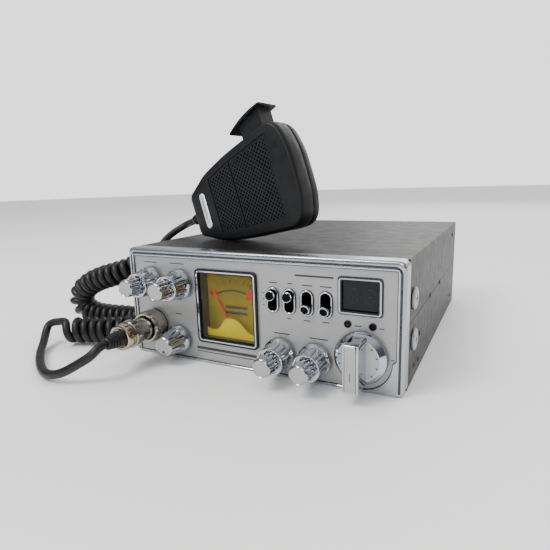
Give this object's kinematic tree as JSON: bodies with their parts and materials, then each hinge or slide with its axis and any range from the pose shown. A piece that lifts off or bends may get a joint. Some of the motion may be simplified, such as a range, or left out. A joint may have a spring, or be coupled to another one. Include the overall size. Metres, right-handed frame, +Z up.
{
  "type": "mobile transceiver",
  "caption": "Compact mobile radio transceiver: steel case, chrome front with lit meter, display, toggles and concentric knobs, and a hand microphone on a curly cord.",
  "frame": {"origin": "centre of the case's flat underside", "axes": "+Z up, -Y out of the front panel towards the user, +X to the user's right"},
  "size_m": [0.2267, 0.2447, 0.1342],
  "materials": {
    "black_paint": "fine satin baked enamel",
    "zinc_steel": "zinc plated, satin",
    "silver_trim": "satin to bright plating on plastic",
    "silver_plate": "fine brushed silver",
    "chrome": "mirror plating",
    "nickel": "bright nickel plating, knurled grip",
    "dark_plastic": "fine moulded texture",
    "circuit_board": "solder-resist lacquer",
    "meter_face": "backlit printed film",
    "needle_red": "painted",
    "clear_window": "clear polished window",
    "smoked_window": "smoked glossy lens",
    "rubber": "satin flexible jacket",
    "speaker_cone": "treated paper"
  },
  "bodies": {
    "root": {"top_cover": "black_paint", "bottom_cover": "black_paint", "chassis_frame": "zinc_steel", "rear_panel": "zinc_steel", "channel_switch": "zinc_steel", "clarifier_potentiometer": "zinc_steel", "front_bezel": "silver_trim", "face_plate": "silver_plate", "upper_left_bracket_screw": "chrome", "lower_left_bracket_screw": "chrome", "upper_right_bracket_screw": "chrome", "lower_right_bracket_screw": "chrome", "volume_potentiometer": "zinc_steel", "mic_gain_potentiometer": "zinc_steel", "tone_potentiometer": "zinc_steel", "dimmer_potentiometer": "zinc_steel", "antenna_socket": "nickel", "speaker_jack": "nickel", "mic_socket": "nickel", "mic_plug": "nickel", "power_socket": "dark_plastic", "toggle_switch_1": "dark_plastic", "toggle_switch_2": "dark_plastic", "toggle_switch_3": "dark_plastic", "toggle_switch_4": "dark_plastic", "meter_case": "dark_plastic", "display_module": "dark_plastic", "front_board": "circuit_board", "main_board": "circuit_board", "meter_dial": "meter_face", "meter_window": "clear_window", "display_window": "smoked_window", "transmit_lamp": "smoked_window", "warning_lamp": "smoked_window", "plug_boot": "rubber", "plug_lead": "rubber", "curly_cord": "rubber", "microphone_lead": "rubber", "speaker": "speaker_cone"},
    "volume_outer_knob": {"volume_outer_knob": "chrome"},
    "volume_inner_knob": {"volume_inner_knob": "chrome"},
    "mic_gain_outer_knob": {"mic_gain_outer_knob": "chrome"},
    "mic_gain_inner_knob": {"mic_gain_inner_knob": "chrome"},
    "tone_outer_knob": {"tone_outer_knob": "chrome"},
    "tone_inner_knob": {"tone_inner_knob": "chrome"},
    "dimmer_outer_knob": {"dimmer_outer_knob": "chrome"},
    "dimmer_inner_knob": {"dimmer_inner_knob": "chrome"},
    "clarifier_knob": {"clarifier_knob": "chrome"},
    "channel_knob": {"channel_knob": "chrome"},
    "toggle_lever_1": {"toggle_lever_1": "chrome"},
    "toggle_lever_2": {"toggle_lever_2": "chrome"},
    "toggle_lever_3": {"toggle_lever_3": "chrome"},
    "toggle_lever_4": {"toggle_lever_4": "chrome"},
    "meter_needle": {"meter_needle": "needle_red"},
    "coupling_ring": {"coupling_ring": "nickel"},
    "microphone": {"mic_front_shell": "dark_plastic", "mic_rear_shell": "dark_plastic", "mic_capsule": "zinc_steel", "mic_boot": "rubber"},
    "press_to_talk_bar": {"press_to_talk_bar": "dark_plastic"}
  },
  "joints": [
    {"name": "volume_outer_turn", "type": "hinge", "parent": "root", "child": "volume_outer_knob", "pos_m": [-0.06105, -0.08965, 0.0417], "axis": [0, 1, 0], "range_deg": [-150, 150]},
    {"name": "volume_inner_turn", "type": "hinge", "parent": "root", "child": "volume_inner_knob", "pos_m": [-0.06105, -0.08965, 0.0417], "axis": [0, 1, 0], "range_deg": [-150, 150]},
    {"name": "mic_gain_outer_turn", "type": "hinge", "parent": "root", "child": "mic_gain_outer_knob", "pos_m": [-0.04155, -0.08965, 0.0415], "axis": [0, 1, 0], "range_deg": [-150, 150]},
    {"name": "mic_gain_inner_turn", "type": "hinge", "parent": "root", "child": "mic_gain_inner_knob", "pos_m": [-0.04155, -0.08965, 0.0415], "axis": [0, 1, 0], "range_deg": [-150, 150]},
    {"name": "tone_outer_turn", "type": "hinge", "parent": "root", "child": "tone_outer_knob", "pos_m": [0.01715, -0.08965, 0.0115], "axis": [0, 1, 0], "range_deg": [-150, 150]},
    {"name": "tone_inner_turn", "type": "hinge", "parent": "root", "child": "tone_inner_knob", "pos_m": [0.01715, -0.08965, 0.0115], "axis": [0, 1, 0], "range_deg": [-150, 150]},
    {"name": "dimmer_outer_turn", "type": "hinge", "parent": "root", "child": "dimmer_outer_knob", "pos_m": [0.03535, -0.08965, 0.0113], "axis": [0, 1, 0], "range_deg": [-150, 150]},
    {"name": "dimmer_inner_turn", "type": "hinge", "parent": "root", "child": "dimmer_inner_knob", "pos_m": [0.03535, -0.08965, 0.0113], "axis": [0, 1, 0], "range_deg": [-150, 150]},
    {"name": "clarifier_turn", "type": "hinge", "parent": "root", "child": "clarifier_knob", "pos_m": [-0.04415, -0.08965, 0.0109], "axis": [0, 1, 0], "range_deg": [-150, 150]},
    {"name": "channel_turn", "type": "hinge", "parent": "root", "child": "channel_knob", "pos_m": [0.05735, -0.08965, 0.0162], "axis": [0, 1, 0], "continuous": true},
    {"name": "toggle_1_tilt", "type": "hinge", "parent": "root", "child": "toggle_lever_1", "pos_m": [0.01385, -0.08365, 0.0382], "axis": [1, 0, 0], "range_deg": [0, 32]},
    {"name": "toggle_2_tilt", "type": "hinge", "parent": "root", "child": "toggle_lever_2", "pos_m": [0.02265, -0.08365, 0.0382], "axis": [1, 0, 0], "range_deg": [0, 32]},
    {"name": "toggle_3_tilt", "type": "hinge", "parent": "root", "child": "toggle_lever_3", "pos_m": [0.03155, -0.08365, 0.0382], "axis": [1, 0, 0], "range_deg": [-32, 0]},
    {"name": "toggle_4_tilt", "type": "hinge", "parent": "root", "child": "toggle_lever_4", "pos_m": [0.04075, -0.08365, 0.0382], "axis": [1, 0, 0], "range_deg": [-32, 0]},
    {"name": "needle_sweep", "type": "hinge", "parent": "root", "child": "meter_needle", "pos_m": [-0.01215, -0.08465, 0.0154], "axis": [0, 1, 0], "range_deg": [0, 50], "stiffness_Nm_per_rad": 0.0001, "springref_deg": -17.19},
    {"name": "coupling_ring_spin", "type": "hinge", "parent": "root", "child": "coupling_ring", "pos_m": [-0.06025, -0.08965, 0.01765], "axis": [0, 1, 0], "continuous": true},
    {"name": "microphone_lift", "type": "slide", "parent": "root", "child": "microphone", "axis": [0, 0, 1], "range_m": [0, 0.1]},
    {"name": "press_to_talk", "type": "slide", "parent": "microphone", "child": "press_to_talk_bar", "axis": [0.3159, -0.0637, -0.9466], "range_m": [0, 0.0035], "stiffness_N_per_m": 600, "springref_m": -0.001}
  ]
}
